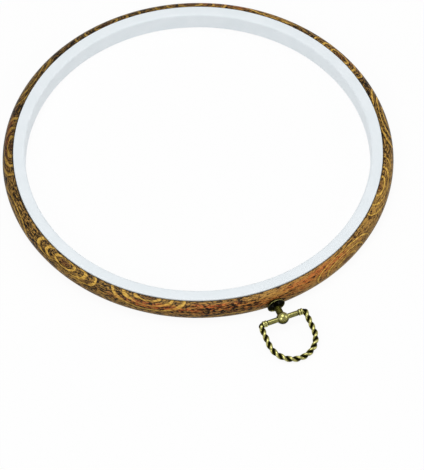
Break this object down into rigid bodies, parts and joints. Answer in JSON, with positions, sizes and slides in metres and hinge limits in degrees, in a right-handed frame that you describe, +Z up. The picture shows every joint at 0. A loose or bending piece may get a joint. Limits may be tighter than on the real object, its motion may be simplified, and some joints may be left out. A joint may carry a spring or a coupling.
{
  "type": "embroidery hoop",
  "caption": "Round embroidery hoop: rigid white inner ring in a bendy wood-grain outer ring, with a rope-pattern D-ring hanger on a ball post.",
  "frame": {"origin": "on the rings' axis, in the plane that the hoop rests on", "axes": "+Z up along the rings' axis, with the inner ring's proud side up; the hanger points along -Y"},
  "size_m": [0.15, 0.1753, 0.008],
  "materials": {
    "white_plastic": "semi-gloss moulded white",
    "wood_grain_vinyl": "semi-gloss vinyl printed with a figured wood grain",
    "antique_brass": "antique brass plating, dark in the recesses"
  },
  "bodies": {
    "outer_hoop": {"outer_ring": "wood_grain_vinyl", "hanger_screw": "antique_brass", "backing_washer": "antique_brass", "cup_washer": "antique_brass", "hanger_post": "antique_brass"},
    "inner_hoop": {"inner_ring": "white_plastic"},
    "hanger_bail": {"bail": "antique_brass"}
  },
  "joints": [
    {"name": "bail_swing", "type": "hinge", "parent": "outer_hoop", "child": "hanger_bail", "pos_m": [0, -0.082, 0.00375], "axis": [-1, 0, 0], "range_deg": [-141.5, 158.5]},
    {"name": "inner_ring_lift", "type": "slide", "parent": "outer_hoop", "child": "inner_hoop", "axis": [0, 0, 1], "range_m": [0, 0.025]}
  ]
}
